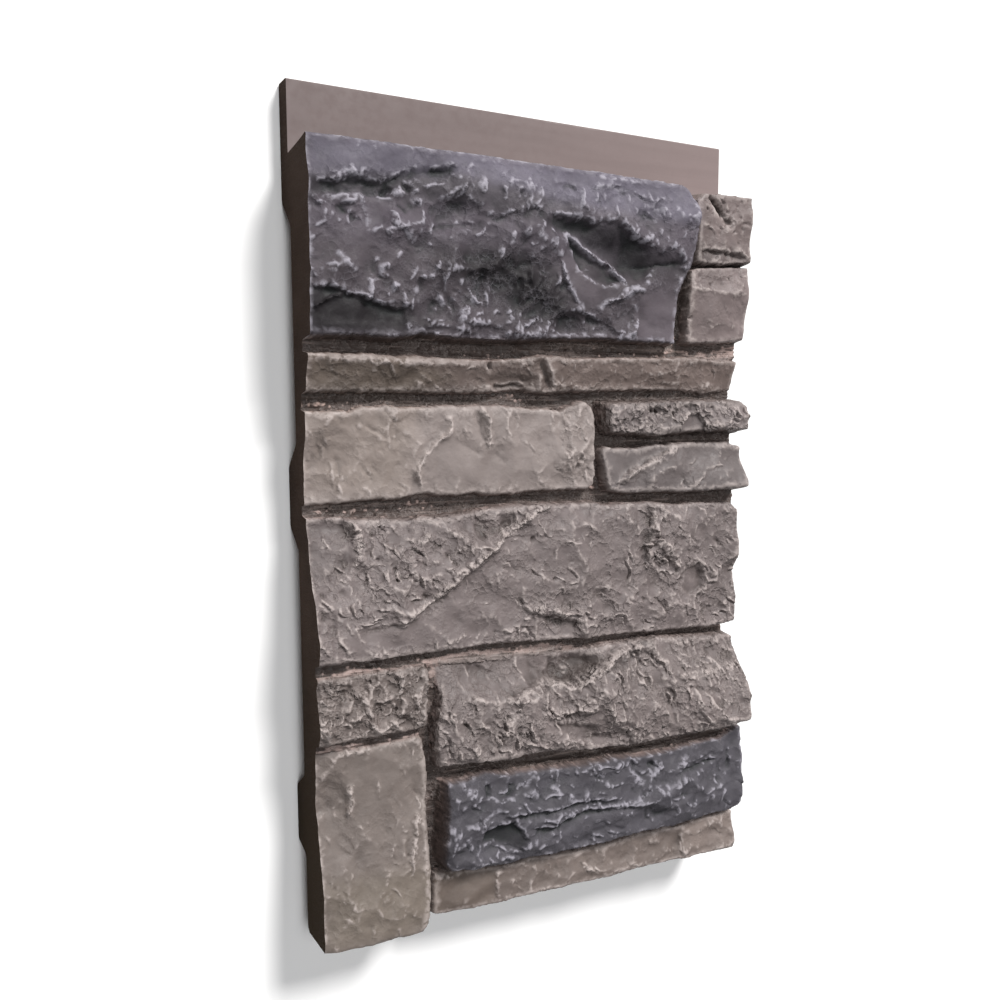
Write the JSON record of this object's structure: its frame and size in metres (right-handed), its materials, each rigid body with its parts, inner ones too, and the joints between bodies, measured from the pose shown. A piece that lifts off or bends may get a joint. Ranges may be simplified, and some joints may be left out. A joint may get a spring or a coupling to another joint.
{
  "type": "faux stone wall panel",
  "caption": "Moulded ledge-stone wall facing panel with a plain lap flange along the top, recessed mortar joints and a ribbed back.",
  "frame": {"origin": "bottom centre of the panel as it lies on its back ribs", "axes": "+X along the stone courses, +Y up the wall towards the lap flange, +Z out of the wall, out of the stone face"},
  "size_m": [0.203, 0.33, 0.0402],
  "materials": {
    "stone_face": "painted rigid polyurethane, taupe and slate stones, matte"
  },
  "bodies": {
    "root": {"faux_stone_panel": "stone_face"}
  },
  "joints": []
}
